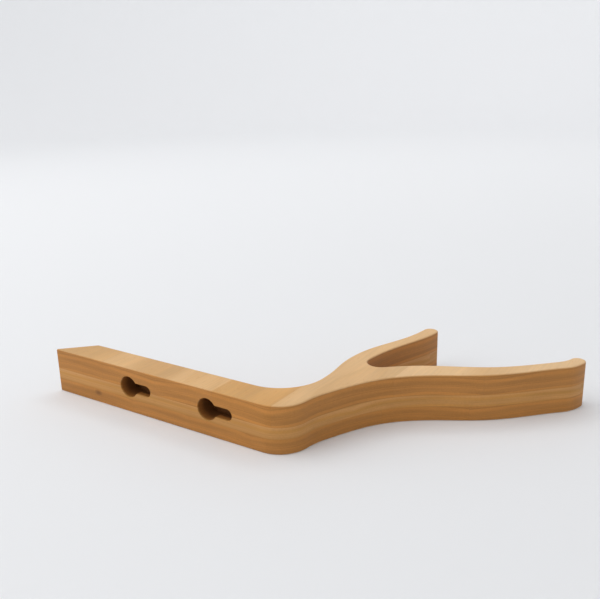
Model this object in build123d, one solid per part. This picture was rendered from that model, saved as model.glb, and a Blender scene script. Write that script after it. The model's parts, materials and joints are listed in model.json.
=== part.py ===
from build123d import *
import os

# Branch-shaped wall hook, cut from a three-layer glued hardwood panel.
# It lies on one broad side: X runs along the wall plate from its pointed end to its heel,
# Y points out from the wall, Z goes up through the panel's thickness. Millimetres, degrees.

# ---- panel the hook is cut from ----
panel_thickness = 20.0
lower_layer_thickness = 6.4
core_thickness = 4.8
core_joints = (33.0, 66.0, 99.0)                   # out from the wall; core staves run along it
upper_plate_joints = (30.0, 60.5, 91.0)            # from the pointed end
upper_trunk_joints = (4.2, 31.2, 61.2)             # from where the heel starts to turn
lower_plate_joints = (17.0, 47.0, 78.0, 109.0)
lower_trunk_joints = (27.7, 56.7)

# ---- wall plate ----
plate_length = 114.3        # pointed end to where the heel starts to turn
plate_depth = 13.6
bevel_run = 13.6            # how far the end bevel runs back along the plate

# ---- bend between the plate and the trunk ----
heel_radius = 12.9
heel_turn = 84.0
throat_radius = 19.0
throat_turn = 87.0
throat_setback = 12.1       # the throat's arc starts this far before the heel's

# ---- trunk and prongs, measured from the point where the heel starts to turn ----
outer_edge = [(16.4, 23.2), (28.3, 44.3), (45.0, 57.8), (62.9, 68.5), (85.2, 89.7)]
long_tip_centre = (88.9, 101.4)
long_tip_radius = 3.1
long_tip_heading = 76.0
long_inner_edge = [(80.6, 94.4), (62.0, 78.0), (35.0, 64.1)]
fork_centre = (19.1, 59.4)
fork_radius = 5.6
fork_start = -50.0          # the fork's round bottom runs clockwise from the long prong
fork_end = 175.0            # to the short prong
short_inner_edge = [(20.1, 86.4)]
short_tip_centre = (21.5, 104.8)
short_tip_radius = 3.4
short_tip_heading = 84.0
short_outer_edge = [(15.1, 90.5), (6.9, 67.5), (5.6, 51.0)]

# ---- eased edges ----
edge_round = 0.6

# ---- keyhole slots in the wall face, for two screws with their heads standing proud ----
first_keyhole = 45.3        # pointed end to the first round entry
keyhole_pitch = 42.6
keyhole_height = 11.6       # above the lower face
head_width = 9.5
neck_width = 5.0
screw_travel = 10.0
lip_thickness = 2.8
keyhole_depth = 8.6


def unit(angle):
    """Unit vector at an angle from +X."""
    return Vector(1, 0).rotate(Axis.Z, angle)


def from_heel(point):
    """A point given from the heel's start, as a point of the whole outline."""
    return Vector(point[0] + plate_length, point[1])


def round_tip(centre, radius, heading):
    """Half-round end of a prong that points along heading."""
    return CenterArc(from_heel(centre), radius, heading - 90, 180)


def blend(start, start_heading, points, end, end_heading):
    """Smooth edge through points, tangent to what it joins at both ends."""
    path = [start] + [from_heel(point) for point in points] + [end]
    return Spline(*path, tangents=[unit(start_heading), unit(end_heading)])


def outline():
    """Face of the hook's side profile."""
    throat_start = plate_length - throat_setback
    heel = CenterArc((plate_length, heel_radius), heel_radius, -90, heel_turn)
    throat = CenterArc((throat_start, plate_depth + throat_radius), throat_radius, -90, throat_turn)
    long_tip = round_tip(long_tip_centre, long_tip_radius, long_tip_heading)
    short_tip = round_tip(short_tip_centre, short_tip_radius, short_tip_heading)
    fork = CenterArc(from_heel(fork_centre), fork_radius, fork_start, fork_end - fork_start - 360)
    bevel_top = (bevel_run, plate_depth)
    edges = [
        Line((0, 0), heel @ 0),
        heel,
        blend(heel @ 1, heel_turn, outer_edge, long_tip @ 0, long_tip_heading),
        long_tip,
        blend(long_tip @ 1, long_tip_heading + 180, long_inner_edge, fork @ 0, fork_start - 90),
        fork,
        blend(fork @ 1, fork_end - 90, short_inner_edge, short_tip @ 0, short_tip_heading),
        short_tip,
        blend(short_tip @ 1, short_tip_heading + 180, short_outer_edge, throat @ 1, throat_turn + 180),
        throat,
        Line(throat @ 0, bevel_top),
        Line(bevel_top, (0, 0)),
    ]
    return make_face(Wire(edges))


def keyhole(x):
    """Cutter for one keyhole slot: round entry at x, and a channel under a lip for the head."""
    wall_face = Plane(origin=(x, 0, keyhole_height), x_dir=(1, 0, 0), z_dir=(0, 1, 0))
    half_way = Pos(screw_travel / 2, 0)
    entry = extrude(wall_face * Circle(head_width / 2), keyhole_depth)
    neck = extrude(wall_face * half_way * SlotCenterToCenter(screw_travel, neck_width), keyhole_depth)
    under_lip = wall_face.offset(lip_thickness) * half_way * SlotCenterToCenter(screw_travel, head_width)
    return entry + neck + extrude(under_lip, keyhole_depth - lip_thickness)


def hook():
    """The whole hook as one body, before it is parted into its staves."""
    body = extrude(outline(), panel_thickness)
    upright = body.edges().filter_by(Axis.Z)
    end_corners = upright.filter_by(lambda edge: edge.center().X < bevel_run + edge_round)
    body = fillet(end_corners, edge_round)
    faces = body.faces().sort_by(Axis.Z)
    body = fillet(faces[0].edges() + faces[-1].edges(), edge_round)
    for x in (first_keyhole, first_keyhole + keyhole_pitch):
        body -= keyhole(x)
    return body


def pieces_in(body, low, high):
    """Separate solids of the body inside a box given by two corners, ordered along the wall."""
    size = [high[i] - low[i] for i in range(3)]
    middle = [(high[i] + low[i]) / 2 for i in range(3)]
    return (body & Pos(*middle) * Box(*size)).solids().sort_by(Axis.X)


def save(name, solid):
    """Write one stave to its own file."""
    solid.label = name
    export_step(solid, f"parts/{name}.step")


def save_face_layer(name, body, box, bottom, top, joints):
    """Part one outer layer into staves that run out from the wall."""
    ends = [box.min.X, *joints, box.max.X]
    number = 1
    for start, end in zip(ends, ends[1:]):
        for solid in pieces_in(body, (start, box.min.Y, bottom), (end, box.max.Y, top)):
            save(f"{name}_stave_{number}", solid)
            number += 1


def save_core(body, box, bottom, top):
    """Part the core into staves that run along the wall; past the fork each prong has its own."""
    ends = [box.min.Y, *(box.min.Y + joint for joint in core_joints), box.max.Y]
    for number, (front, back) in enumerate(zip(ends, ends[1:]), 1):
        solids = pieces_in(body, (box.min.X, front, bottom), (box.max.X, back, top))
        endings = ["_short_prong", "_long_prong"] if len(solids) == 2 else [""]
        for solid, ending in zip(solids, endings):
            save(f"core_stave_{number}{ending}", solid)


def joints_at(pointed_end, plate_joints, trunk_joints):
    """Joints of one outer layer: the first from the pointed end, the others from the heel's start."""
    heel_start = pointed_end + plate_length
    return [pointed_end + joint for joint in plate_joints] + [heel_start + joint for joint in trunk_joints]


os.makedirs("parts", exist_ok=True)
whole = hook()
middle = whole.bounding_box().center()
whole = Pos(-middle.X, -middle.Y, 0) * whole
box = whole.bounding_box()
core_top = lower_layer_thickness + core_thickness
pointed_end = -middle.X
lower_joints = joints_at(pointed_end, lower_plate_joints, lower_trunk_joints)
upper_joints = joints_at(pointed_end, upper_plate_joints, upper_trunk_joints)
save_face_layer("lower", whole, box, 0, lower_layer_thickness, lower_joints)
save_core(whole, box, lower_layer_thickness, core_top)
save_face_layer("upper", whole, box, core_top, panel_thickness, upper_joints)
print(f"hook {box.size.X:.1f} long, {box.size.Y:.1f} out from the wall, {box.size.Z:.1f} thick")
print(f"outline origin at {-middle.X:.3f}, {-middle.Y:.3f}")
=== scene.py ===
import json
import math

import bpy
from bpy.props import FloatProperty, FloatVectorProperty, PointerProperty
from mathutils import Matrix, Vector


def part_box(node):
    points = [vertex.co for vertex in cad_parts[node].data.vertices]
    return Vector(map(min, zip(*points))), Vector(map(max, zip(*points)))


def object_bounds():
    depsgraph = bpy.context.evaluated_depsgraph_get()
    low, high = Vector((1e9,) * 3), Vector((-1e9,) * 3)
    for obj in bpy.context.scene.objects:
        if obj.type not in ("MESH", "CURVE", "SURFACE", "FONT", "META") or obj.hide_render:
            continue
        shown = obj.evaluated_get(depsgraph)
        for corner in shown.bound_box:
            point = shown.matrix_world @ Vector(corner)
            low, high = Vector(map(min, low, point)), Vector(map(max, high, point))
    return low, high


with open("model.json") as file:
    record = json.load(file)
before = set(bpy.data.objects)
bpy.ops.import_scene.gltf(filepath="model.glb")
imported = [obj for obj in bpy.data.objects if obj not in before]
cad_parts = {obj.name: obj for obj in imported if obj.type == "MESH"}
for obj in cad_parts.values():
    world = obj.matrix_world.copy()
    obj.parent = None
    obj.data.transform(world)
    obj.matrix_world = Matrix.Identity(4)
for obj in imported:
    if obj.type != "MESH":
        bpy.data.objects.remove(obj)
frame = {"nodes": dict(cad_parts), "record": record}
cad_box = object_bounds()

bl_info = {
    "name": "Branch-shaped wall hook",
    "version": (1, 0, 0),
    "blender": (4, 5, 0),
    "location": "View3D > Sidebar > Wall Hook",
    "description": "Oiled maple finish, floor, light and camera for a three-layer wooden wall hook",
    "category": "Object",
}

MM_PER_M = 1000.0

# Grain runs along Y in the outer staves, away from the wall, and along X in the core.
GRAIN_OUT_FROM_WALL = Vector((0, 1, 0))
GRAIN_ALONG_WALL = Vector((1, 0, 0))

# How light and how amber each stave's broad face is, from the pointed end. Below 0 is paler.
# Upper staves 6 and 7 are lighter and paler partly as lighter wood and partly as painted sheen, where the
# top is seen at a grazing angle.
UPPER_TONES_AND_SHEEN = {1: (1.05, 0.6), 2: (1.06, 0.3), 3: (1.04, 0.2), 4: (1.00, 1.0), 5: (1.03, 0.0),
               6: (1.15, -0.3), 7: (1.15, -0.4)}
LOWER_TONES = {1: (0.97, 0.2), 2: (0.95, 0.5), 3: (1.00, 0.0), 4: (0.97, 0.3), 5: (1.00, 0.0),
               6: (0.96, 0.4), 7: (0.99, 0.1)}
CORE_TONES = {1: (1.00, 0.0), 2: (0.98, 0.0), 3: (1.01, 0.0), 4: (0.99, 0.0)}
AMBER = (1.0, 0.88, 0.64)

# Sizes of the wood's patterns in millimetres: along the grain, across it, and through the board.
RING_WANDER = (83, 33, 17)
SAWN_BANDS = (100, 33, 2.4)
CLOUDS = (33, 14, 14)
FLECKS = (2.5, 0.67, 0.67)
FIBRE_LENGTH = 33           # in fibre widths
RING_SWING = 2.6            # how far the rings wander, mm
HEART_BELOW = 160           # from a board's middle down to the tree's heart, mm
HEART_ASIDE = 5             # and to one side of it, mm

# Where each pattern starts in its noise. Clouds and flecks start elsewhere on each stave.
FIBRE_SEED = 11
BAND_SEED = 23
FLECK_SEED = 5              # past the stave's own
STAVE_STEP = 3.1
LAYER_STEP = 7

# The darkest that each pattern makes the wood, as a share taken away.
CLOUD_SHADE = 0.06
FIBRE_SHADE = 0.07
BAND_SHADE = 0.12
RING_SHADE = 0.16

# How much of the growth line colour comes from the uneven early wood and from the late lines.
EARLY_WOOD = 0.8
LATE_LINES = 0.2
LATE_SHARPNESS = 5.0

# How strongly the glue lines and the small flecks show.
GLUE_STRENGTH = 0.22
FLECK_STRENGTH = 0.3

# How much of the cut sides' brown the staves show: the outer staves nearly all, the core less.
FACE_STAVE_CUT = 0.95
CORE_STAVE_CUT = 0.42

# How far the satin finish's roughness varies from fibre to fibre.
SMOOTHER = 0.04
ROUGHER = 0.06

# Where the lights stand, what they face, and their width and height, in metres.
WINDOW_PLACE = (-0.74, -0.64, 1.0)
WINDOW_TARGET = (0, 0, 0)
WINDOW_SIZE = (1.8, 1.4)
BACKDROP_PLACE = (-0.1, 0.8, 1.3)
BACKDROP_TARGET = (-0.35, 1.6, 0.2)
BACKDROP_SIZE = (1.4, 0.8)


def linear(hex_colour):
    """sRGB hex colour as linear RGB."""
    parts = [int(hex_colour[i:i + 2], 16) / 255 for i in (1, 3, 5)]
    return tuple(c / 12.92 if c <= 0.04045 else ((c + 0.055) / 1.055) ** 2.4 for c in parts)


def add(tree, kind, inputs=None, **settings):
    """Add a node, set its properties, and set or link its inputs. A node given as an input is
    linked from its first output in use."""
    node = tree.nodes.new(kind)
    for name, value in settings.items():
        setattr(node, name, value)
    for key, value in (inputs or {}).items():
        if isinstance(value, bpy.types.Node):
            value = next(output for output in value.outputs if output.enabled)
        if isinstance(value, bpy.types.NodeSocket):
            tree.links.new(value, node.inputs[key])
        else:
            node.inputs[key].default_value = value
    return node


class WoodSettings(bpy.types.PropertyGroup):
    """Colours and grain of the hook's oiled maple."""

    light_wood: FloatVectorProperty(
        name="Light wood", description="Pale wood between the growth lines", subtype="COLOR",
        size=3, min=0, max=1, default=linear("#E0B885"))
    dark_wood: FloatVectorProperty(
        name="Growth lines", description="Darker wood of the growth lines", subtype="COLOR",
        size=3, min=0, max=1, default=linear("#D2A56E"))
    end_grain: FloatVectorProperty(
        name="End grain", description="Cut fibre ends and sawn edges, which soak up more oil",
        subtype="COLOR", size=3, min=0, max=1, default=linear("#BE803C"))
    core_wood: FloatVectorProperty(
        name="Core wood", description="Paler wood of the core staves", subtype="COLOR",
        size=3, min=0, max=1, default=linear("#CF9850"))
    glue_line: FloatVectorProperty(
        name="Glue line", description="Thin line where two staves meet", subtype="COLOR",
        size=3, min=0, max=1, default=linear("#A0713F"))
    pin_knot: FloatVectorProperty(
        name="Pin knot", description="Heart of the small knot by the pointed end", subtype="COLOR",
        size=3, min=0, max=1, default=linear("#5E3B20"))
    # Inside the keyholes: partly the bit's real browning and partly painted shade of the hollow.
    bit_burn_and_shade: FloatVectorProperty(
        name="Keyhole mouth", description="Wood browned by the keyhole bit", subtype="COLOR",
        size=3, min=0, max=1, default=linear("#9A6430"))
    # Painted shade: this dark colour deep in the keyhole stands for the shade inside the hollow.
    char: FloatVectorProperty(
        name="Keyhole bottom", description="Wood scorched deep in the keyhole, where chips pack",
        subtype="COLOR", size=3, min=0, max=1, default=linear("#744A26"))
    ring_spacing: FloatProperty(
        name="Ring spacing", description="Distance between growth rings", subtype="DISTANCE",
        unit="LENGTH", default=0.0024, min=0.0005)
    # Maple's fibres are under 0.1 mm wide. They are drawn coarser, so that they show.
    fibre_width: FloatProperty(
        name="Fibre width", description="Width of the fine streaks along the grain",
        subtype="DISTANCE", unit="LENGTH", default=0.0005, min=0.0001)
    # A good glue line is about 0.1 mm wide. It is drawn a little wider, so that it shows.
    glue_width: FloatProperty(
        name="Glue line width", description="Width of the line where two staves meet",
        subtype="DISTANCE", unit="LENGTH", default=0.00016, min=0.00002)
    roughness: FloatProperty(
        name="Roughness", description="Roughness of the satin oil finish", default=0.46,
        min=0, max=1)


class StageSettings(bpy.types.PropertyGroup):
    """Floor, light and camera."""

    floor_colour: FloatVectorProperty(
        name="Floor", description="Pale card that the hook lies on", subtype="COLOR",
        size=3, min=0, max=1, default=linear("#ECEDEF"))
    floor_radius: FloatProperty(
        name="Floor radius", description="Radius of the flat part of the floor",
        subtype="DISTANCE", unit="LENGTH", default=1.3)
    key_power: FloatProperty(
        name="Window light", description="Power of the large light on the left",
        subtype="POWER", unit="POWER", default=12.2, min=0)
    back_power: FloatProperty(
        name="Backdrop light", description="Power of the light on the far side of the floor",
        subtype="POWER", unit="POWER", default=5.6, min=0)
    sky_colour: FloatVectorProperty(
        name="Room colour", description="Colour of the even light of the room", subtype="COLOR",
        size=3, min=0, max=1, default=linear("#F4F4F4"))
    sky_strength: FloatProperty(
        name="Room light", description="Strength of the even light of the room", default=0.61, min=0)
    lens: FloatProperty(
        name="Lens", description="Focal length of the camera", subtype="DISTANCE_CAMERA",
        default=45.24, min=1)


def grain_space(tree, coordinates, grain):
    """Object coordinates in millimetres, turned so that the grain runs along X."""
    turn = 0.0 if grain == GRAIN_ALONG_WALL else -math.pi / 2
    return add(tree, "ShaderNodeMapping", {
        "Vector": coordinates, "Scale": (MM_PER_M,) * 3, "Rotation": (0, 0, turn)})


def streaks(tree, space, size, detail, seed):
    """Noise of a size in millimetres: along the grain, across it, and through the board."""
    stretched = add(tree, "ShaderNodeMapping", {
        "Vector": space, "Scale": [1 / length for length in size],
        "Location": (seed, seed * 1.7, seed * 0.6)})
    return add(tree, "ShaderNodeTexNoise", {
        "Vector": stretched, "Scale": 1.0, "Detail": detail, "Roughness": 0.55})


def growth_rings(tree, space, heart, spacing_mm):
    """Uneven rings round the tree's heart. It lies far off, as in flat-sawn boards, so the rings
    show as long stripes on the cut sides and as slow figure on the broad faces."""
    wander = streaks(tree, space, RING_WANDER, 2.0, 0)
    from_heart = add(tree, "ShaderNodeVectorMath", {0: space, 1: heart}, operation="SUBTRACT")
    across = add(tree, "ShaderNodeVectorMath", {0: from_heart, 1: (0, 1, 1)}, operation="MULTIPLY")
    radius = add(tree, "ShaderNodeVectorMath", {0: across}, operation="LENGTH")
    wavy = add(tree, "ShaderNodeMath", {0: wander, 1: RING_SWING, 2: radius}, operation="MULTIPLY_ADD")
    turns = add(tree, "ShaderNodeMath", {0: wavy, 1: spacing_mm}, operation="DIVIDE")
    uneven = add(tree, "ShaderNodeTexNoise", {
        "W": turns, "Scale": 1.0, "Detail": 2.0}, noise_dimensions="1D")
    early = add(tree, "ShaderNodeMapRange", {
        "Value": uneven, "From Min": 0.28, "From Max": 0.72, "To Max": EARLY_WOOD},
        interpolation_type="SMOOTHSTEP")
    through_ring = add(tree, "ShaderNodeMath", {0: turns}, operation="FRACT")
    late = add(tree, "ShaderNodeMath", {0: through_ring, 1: LATE_SHARPNESS}, operation="POWER")
    return add(tree, "ShaderNodeMath", {0: late, 1: LATE_LINES, 2: early}, operation="MULTIPLY_ADD")


def line_at(tree, coordinate, place, width):
    """1 on a thin plane at a place along one axis, 0 away from it."""
    offset = add(tree, "ShaderNodeMath", {0: coordinate, 1: place}, operation="SUBTRACT")
    distance = add(tree, "ShaderNodeMath", {0: offset}, operation="ABSOLUTE")
    return add(tree, "ShaderNodeMapRange", {
        "Value": distance, "From Min": width * 0.3, "From Max": width, "To Min": 1.0, "To Max": 0.0},
        interpolation_type="SMOOTHSTEP")


def facing(tree, direction):
    """How squarely the surface faces along a direction, either way."""
    normal = add(tree, "ShaderNodeNewGeometry").outputs["Normal"]
    along = add(tree, "ShaderNodeVectorMath", {0: normal, 1: direction}, operation="DOT_PRODUCT")
    return add(tree, "ShaderNodeMath", {0: along}, operation="ABSOLUTE")


def shaded(tree, wood, pattern, depth):
    """Wood made darker by up to depth where a pattern is low, and a little lighter where it's high."""
    level = add(tree, "ShaderNodeMapRange", {
        "Value": pattern, "From Min": 0.3, "From Max": 0.7,
        "To Min": 1 - depth, "To Max": 1 + depth * 0.3},
        interpolation_type="SMOOTHSTEP")
    return add(tree, "ShaderNodeVectorMath", {0: wood, "Scale": level}, operation="SCALE")


def planed_face(tree, space, rings, settings, seed, tone, core):
    """Planed long grain of a broad face, a little different on each stave."""
    light = settings.core_wood if core else settings.light_wood
    face = add(tree, "ShaderNodeMix", {
        0: rings, 6: (*light, 1), 7: (*settings.dark_wood, 1)}, data_type="RGBA")
    face = shaded(tree, face, streaks(tree, space, CLOUDS, 2.0, seed), CLOUD_SHADE)
    specks = streaks(tree, space, FLECKS, 1.0, seed + FLECK_SEED)
    flecks = add(tree, "ShaderNodeMapRange", {
        "Value": specks, "From Min": 0.66, "From Max": 0.76, "To Max": FLECK_STRENGTH},
        interpolation_type="SMOOTHSTEP")
    face = add(tree, "ShaderNodeMix", {
        0: flecks, 6: face, 7: (*settings.end_grain, 1)}, data_type="RGBA")
    lightness, amber = tone
    tint = [lightness * (1 - amber * (1 - channel)) for channel in AMBER]
    return add(tree, "ShaderNodeVectorMath", {0: face, 1: tint}, operation="MULTIPLY")


def cut_amount(tree, grain, core):
    """How far a surface is a cut side: where fibres end, and where it stands upright."""
    most = CORE_STAVE_CUT if core else FACE_STAVE_CUT
    end_on = add(tree, "ShaderNodeMapRange", {
        "Value": facing(tree, grain), "From Min": 0.3, "From Max": 0.95, "To Max": most},
        interpolation_type="SMOOTHSTEP")
    upright = add(tree, "ShaderNodeMapRange", {
        "Value": facing(tree, (0, 0, 1)), "From Min": 0.05, "From Max": 0.7, "To Min": most, "To Max": 0.0},
        interpolation_type="SMOOTHSTEP")
    return add(tree, "ShaderNodeMath", {0: end_on, 1: upright}, operation="MAXIMUM")


def oiled_maple(name, settings, grain, heart, seed, tone, core, joints, layers, knot):
    """Oiled maple, planed and sanded: a satin sheen, low-contrast rings, fine fibres along the
    grain, and browner end grain. Thin dark lines mark the glued joints."""
    material = bpy.data.materials.new(name)
    material.use_nodes = True
    tree = material.node_tree
    tree.nodes.clear()
    coordinates = add(tree, "ShaderNodeTexCoord").outputs["Object"]
    space = grain_space(tree, coordinates, grain)
    place = add(tree, "ShaderNodeSeparateXYZ", {"Vector": coordinates}).outputs
    rings = growth_rings(tree, space, heart, settings.ring_spacing * MM_PER_M)
    fibre = settings.fibre_width * MM_PER_M
    fibres = streaks(tree, space, (fibre * FIBRE_LENGTH, fibre, fibre), 3.0, FIBRE_SEED)
    bands = streaks(tree, space, SAWN_BANDS, 2.0, BAND_SEED)

    face = planed_face(tree, space, rings, settings, seed, tone, core)
    # Cut sides: browner, with the rings as long stripes that run on from stave to stave.
    side = shaded(tree, settings.end_grain, rings, RING_SHADE)
    wood = add(tree, "ShaderNodeMix", {
        0: cut_amount(tree, grain, core), 6: face, 7: side}, data_type="RGBA")
    wood = shaded(tree, wood, fibres, FIBRE_SHADE)
    wood = shaded(tree, wood, bands, BAND_SHADE)

    for axis, position in [("X", joint) for joint in joints] + [("Z", layer) for layer in layers]:
        line = line_at(tree, place[axis], position, settings.glue_width)
        faint = add(tree, "ShaderNodeMath", {0: line, 1: GLUE_STRENGTH}, operation="MULTIPLY")
        wood = add(tree, "ShaderNodeMix", {
            0: faint, 6: wood, 7: (*settings.glue_line, 1)}, data_type="RGBA")
    if knot:
        wood = knotted(tree, wood, coordinates, place, settings)
    wood = keyhole_walls(tree, wood, place, settings)

    sheen = add(tree, "ShaderNodeMapRange", {
        "Value": fibres, "From Min": 0.3, "From Max": 0.7,
        "To Min": settings.roughness - SMOOTHER, "To Max": settings.roughness + ROUGHER})
    relief = add(tree, "ShaderNodeBump", {"Strength": 0.25, "Distance": 0.00003, "Height": fibres})
    shader = add(tree, "ShaderNodeBsdfPrincipled", {
        "Base Color": wood, "IOR": 1.47, "Specular IOR Level": 0.28,
        "Normal": relief, "Roughness": sheen})
    add(tree, "ShaderNodeOutputMaterial", {"Surface": shader})
    return material


def knotted(tree, wood, coordinates, place, settings):
    """A pin knot low in the wall face by the pointed end: a dark speck with a brown halo."""
    heart = cad_box[0] + Vector((0.0252, 0, 0.0046))
    speck_radius = 0.00018
    halo_radius = 0.0018
    length_to_height = 1.7
    from_heart = add(tree, "ShaderNodeVectorMath", {0: coordinates, 1: heart}, operation="SUBTRACT")
    rounded = add(tree, "ShaderNodeVectorMath", {
        0: from_heart, 1: (1 / length_to_height, 0, 1)}, operation="MULTIPLY")
    spread = add(tree, "ShaderNodeVectorMath", {0: rounded}, operation="LENGTH")
    speck = add(tree, "ShaderNodeMapRange", {
        "Value": spread, "From Min": speck_radius, "From Max": halo_radius,
        "To Min": 0.6, "To Max": 0.0},
        interpolation_type="SMOOTHSTEP")
    by_wall = add(tree, "ShaderNodeMapRange", {
        "Value": place["Y"], "From Min": heart.y + 0.002, "From Max": heart.y + 0.004,
        "To Min": 1.0, "To Max": 0.0})
    shown = add(tree, "ShaderNodeMath", {0: speck, 1: by_wall}, operation="MULTIPLY")
    return add(tree, "ShaderNodeMix", {0: shown, 6: wood, 7: (*settings.pin_knot, 1)}, data_type="RGBA")


def keyhole_walls(tree, wood, place, settings):
    """Wood inside the keyholes: browned at the mouth where the bit rubbed, partly real burn and partly
    painted shade of the hollow, and painted darker further in as the shade deep inside.
    """
    mouth = cad_box[0].y + 0.0002
    browned = cad_box[0].y + 0.0012
    darkened = cad_box[0].y + 0.005
    past_mouth = add(tree, "ShaderNodeMapRange", {
        "Value": place["Y"], "From Min": mouth, "From Max": browned}, interpolation_type="SMOOTHSTEP")
    # Painted shade: darker the deeper into the keyhole.
    deep = add(tree, "ShaderNodeMapRange", {
        "Value": place["Y"], "From Min": browned, "From Max": darkened}, interpolation_type="SMOOTHSTEP")
    burn_and_painted_shade = add(tree, "ShaderNodeMix", {
        0: deep, 6: (*settings.bit_burn_and_shade, 1), 7: (*settings.char, 1)}, data_type="RGBA")
    for middle, half_size in keyhole_boxes():
        inside = past_mouth
        for axis in range(3):
            within = add(tree, "ShaderNodeMath", {
                0: place[axis], 1: middle[axis], 2: half_size[axis]}, operation="COMPARE")
            inside = add(tree, "ShaderNodeMath", {0: inside, 1: within}, operation="MULTIPLY")
        wood = add(tree, "ShaderNodeMix", {0: inside, 6: wood, 7: burn_and_painted_shade}, data_type="RGBA")
    return wood


def keyhole_boxes():
    """Middle and half size of a box round each keyhole, from the openings in the record."""
    margin = 0.0004
    openings = {box["name"]: box["box_m"] for box in frame["record"]["physics"]["openings"]}
    boxes = []
    for number in (1, 2):
        low, high = map(Vector, openings[f"keyhole_{number}_channel"])
        head = (high.z - low.z) / 2
        low = Vector((low.x - head, cad_box[0].y, low.z)) - Vector((margin,) * 3)
        high = Vector((high.x + head, high.y, high.z)) + Vector((margin,) * 3)
        boxes.append(((low + high) / 2, (high - low) / 2))
    return boxes


def finish_staves(layer, settings, tones, grain, core=False):
    """Give every stave of one layer its own piece of wood."""
    ends_at = 0.001     # nearer than this to the outside is an end and not a joint
    inner_low = cad_box[0] + Vector((ends_at,) * 3)
    inner_high = cad_box[1] - Vector((ends_at,) * 3)
    for index, name in enumerate(sorted(node for node in frame["nodes"] if node.startswith(layer))):
        low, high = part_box(name)
        number = int(name.split("_")[2])
        # The heart is a little to one side or the other of each board's middle, far below it.
        side = HEART_ASIDE if number % 2 == 0 else -HEART_ASIDE
        middle = (low + high) / 2 * MM_PER_M
        heart = (0, (middle.y if core else -middle.x) + side, middle.z - HEART_BELOW)
        joints = [] if core else [x for x in (low.x, high.x) if inner_low.x < x < inner_high.x]
        layers = [z for z in (low.z, high.z) if inner_low.z < z < inner_high.z]
        seed = index * STAVE_STEP + len(layer) * LAYER_STEP
        material = oiled_maple(
            f"Oiled maple, {name.replace('_', ' ')}", settings, grain, heart, seed,
            tones[number], core, joints, layers, name == "lower_stave_2")
        node = frame["nodes"][name]
        if not node.material_slots:
            node.data.materials.append(material)
        for slot in node.material_slots:
            slot.material = material


class HOOK_OT_upper_staves(bpy.types.Operator):
    """Finish the staves of the upper layer"""

    bl_idname = "hook.upper_staves"
    bl_label = "Upper staves"

    def execute(self, context):
        finish_staves("upper", context.scene.hook_wood, UPPER_TONES_AND_SHEEN, GRAIN_OUT_FROM_WALL)
        return {"FINISHED"}


class HOOK_OT_core_staves(bpy.types.Operator):
    """Finish the staves of the core, whose grain crosses that of the outer layers"""

    bl_idname = "hook.core_staves"
    bl_label = "Core staves"

    def execute(self, context):
        finish_staves("core", context.scene.hook_wood, CORE_TONES, GRAIN_ALONG_WALL, core=True)
        return {"FINISHED"}


class HOOK_OT_lower_staves(bpy.types.Operator):
    """Finish the staves of the lower layer"""

    bl_idname = "hook.lower_staves"
    bl_label = "Lower staves"

    def execute(self, context):
        finish_staves("lower", context.scene.hook_wood, LOWER_TONES, GRAIN_OUT_FROM_WALL)
        return {"FINISHED"}


class HOOK_OT_stage(bpy.types.Operator):
    """Lay the pale floor, and set the light and the camera"""

    bl_idname = "hook.stage"
    bl_label = "Floor, light and camera"

    def execute(self, context):
        settings = context.scene.hook_stage
        lay_floor(settings)
        light_room(settings, context.scene)
        place_camera(settings, context.scene)
        return {"FINISHED"}


def lay_floor(settings):
    """Round floor whose rim curves up into a backdrop, so that no horizon shows."""
    bpy.ops.object.select_all(action="DESELECT")
    bpy.ops.mesh.primitive_circle_add(vertices=96, radius=settings.floor_radius, fill_type="NGON")
    floor = bpy.context.object
    floor.name = "floor"
    radius = settings.floor_radius
    cove = radius * 0.45
    steps = 10
    bpy.ops.object.mode_set(mode="EDIT")
    bpy.ops.mesh.select_all(action="SELECT")
    bpy.ops.mesh.region_to_loop()
    for step in range(1, steps + 1):
        before = math.pi / 2 * (step - 1) / steps
        angle = math.pi / 2 * step / steps
        wider = radius + cove * (math.sin(angle) - math.sin(before))
        rise = cove * (math.cos(before) - math.cos(angle))
        bpy.ops.mesh.extrude_region_move(TRANSFORM_OT_translate={"value": (0, 0, rise)})
        bpy.ops.transform.resize(value=(wider / radius, wider / radius, 1))
        radius = wider
    bpy.ops.mesh.extrude_region_move(TRANSFORM_OT_translate={"value": (0, 0, cove)})
    bpy.ops.object.mode_set(mode="OBJECT")
    bpy.ops.object.shade_smooth()
    card = bpy.data.materials.new("Matt white card")  # even, with no gloss
    card.use_nodes = True
    tree = card.node_tree
    tree.nodes.clear()
    shader = add(tree, "ShaderNodeBsdfPrincipled", {
        "Base Color": (*settings.floor_colour, 1), "Roughness": 0.9, "Specular IOR Level": 0.2})
    add(tree, "ShaderNodeOutputMaterial", {"Surface": shader})
    floor.data.materials.append(card)


def soft_light(name, place, target, size, power):
    """Large rectangular light that faces a target."""
    bpy.ops.object.light_add(type="AREA", location=place)
    light = bpy.context.object
    light.name = name
    light.data.shape = "RECTANGLE"
    light.data.size, light.data.size_y = size
    light.data.energy = power
    light.rotation_euler = (Vector(target) - Vector(place)).to_track_quat("-Z", "Y").to_euler()


def light_room(settings, scene):
    """A large soft light from above on the left, one on the far floor, and even light all round."""
    soft_light("window_light", WINDOW_PLACE, WINDOW_TARGET, WINDOW_SIZE, settings.key_power)
    soft_light("backdrop_light", BACKDROP_PLACE, BACKDROP_TARGET, BACKDROP_SIZE, settings.back_power)
    world = bpy.data.worlds.new("Even room light")
    world.use_nodes = True
    background = world.node_tree.nodes["Background"]
    background.inputs["Color"].default_value = (*settings.sky_colour, 1)
    background.inputs["Strength"].default_value = settings.sky_strength
    scene.world = world
    scene.view_settings.view_transform = "Standard"


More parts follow.
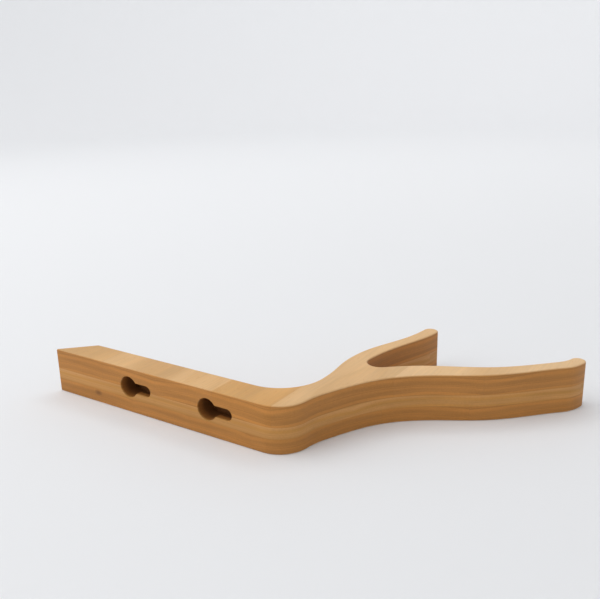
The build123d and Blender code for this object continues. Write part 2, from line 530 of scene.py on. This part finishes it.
def place_camera(settings, scene):
    """Camera in front of the wall plate, a little to its right, looking down at the hook."""
    from_pointed_end = Vector((0.26754, -0.20328, 0.13983))
    heading = math.radians(33.65)
    down = math.radians(17.35)
    roll = math.radians(-1.38)
    right = Vector((math.cos(heading), math.sin(heading), 0))
    level = Vector((-math.sin(heading), math.cos(heading), 0))
    forward = level * math.cos(down) - Vector((0, 0, math.sin(down)))
    up = right.cross(forward)
    level_right = right * math.cos(roll) + up * math.sin(roll)
    level_up = up * math.cos(roll) - right * math.sin(roll)
    turn = Matrix((level_right, level_up, -forward)).transposed()
    bpy.ops.object.camera_add(location=cad_box[0] + from_pointed_end)
    camera = bpy.context.object
    camera.rotation_mode = "QUATERNION"
    camera.rotation_quaternion = turn.to_quaternion()
    camera.data.lens = settings.lens
    camera.data.clip_start = 0.01
    scene.camera = camera


class HOOK_PT_panel(bpy.types.Panel):
    """Lists the pieces of the hook and the sizes and colours of its finish"""

    bl_idname = "HOOK_PT_panel"
    bl_label = "Wall hook"
    bl_space_type = "VIEW_3D"
    bl_region_type = "UI"
    bl_category = "Wall Hook"

    def draw(self, context):
        layout = self.layout
        for group in (context.scene.hook_wood, context.scene.hook_stage):
            for name in group.__annotations__:
                layout.prop(group, name)
        for operator in OPERATORS:
            layout.operator(operator.bl_idname)


OPERATORS = (HOOK_OT_upper_staves, HOOK_OT_core_staves, HOOK_OT_lower_staves, HOOK_OT_stage)
CLASSES = (WoodSettings, StageSettings, *OPERATORS, HOOK_PT_panel)


def register():
    for cls in CLASSES:
        bpy.utils.register_class(cls)
    bpy.types.Scene.hook_wood = PointerProperty(type=WoodSettings)
    bpy.types.Scene.hook_stage = PointerProperty(type=StageSettings)


def unregister():
    del bpy.types.Scene.hook_stage
    del bpy.types.Scene.hook_wood
    for cls in reversed(CLASSES):
        bpy.utils.unregister_class(cls)


def main():
    register()
    bpy.ops.hook.upper_staves()
    bpy.ops.hook.core_staves()
    bpy.ops.hook.lower_staves()
    bpy.ops.hook.stage()


if __name__ == "__main__":
    main()
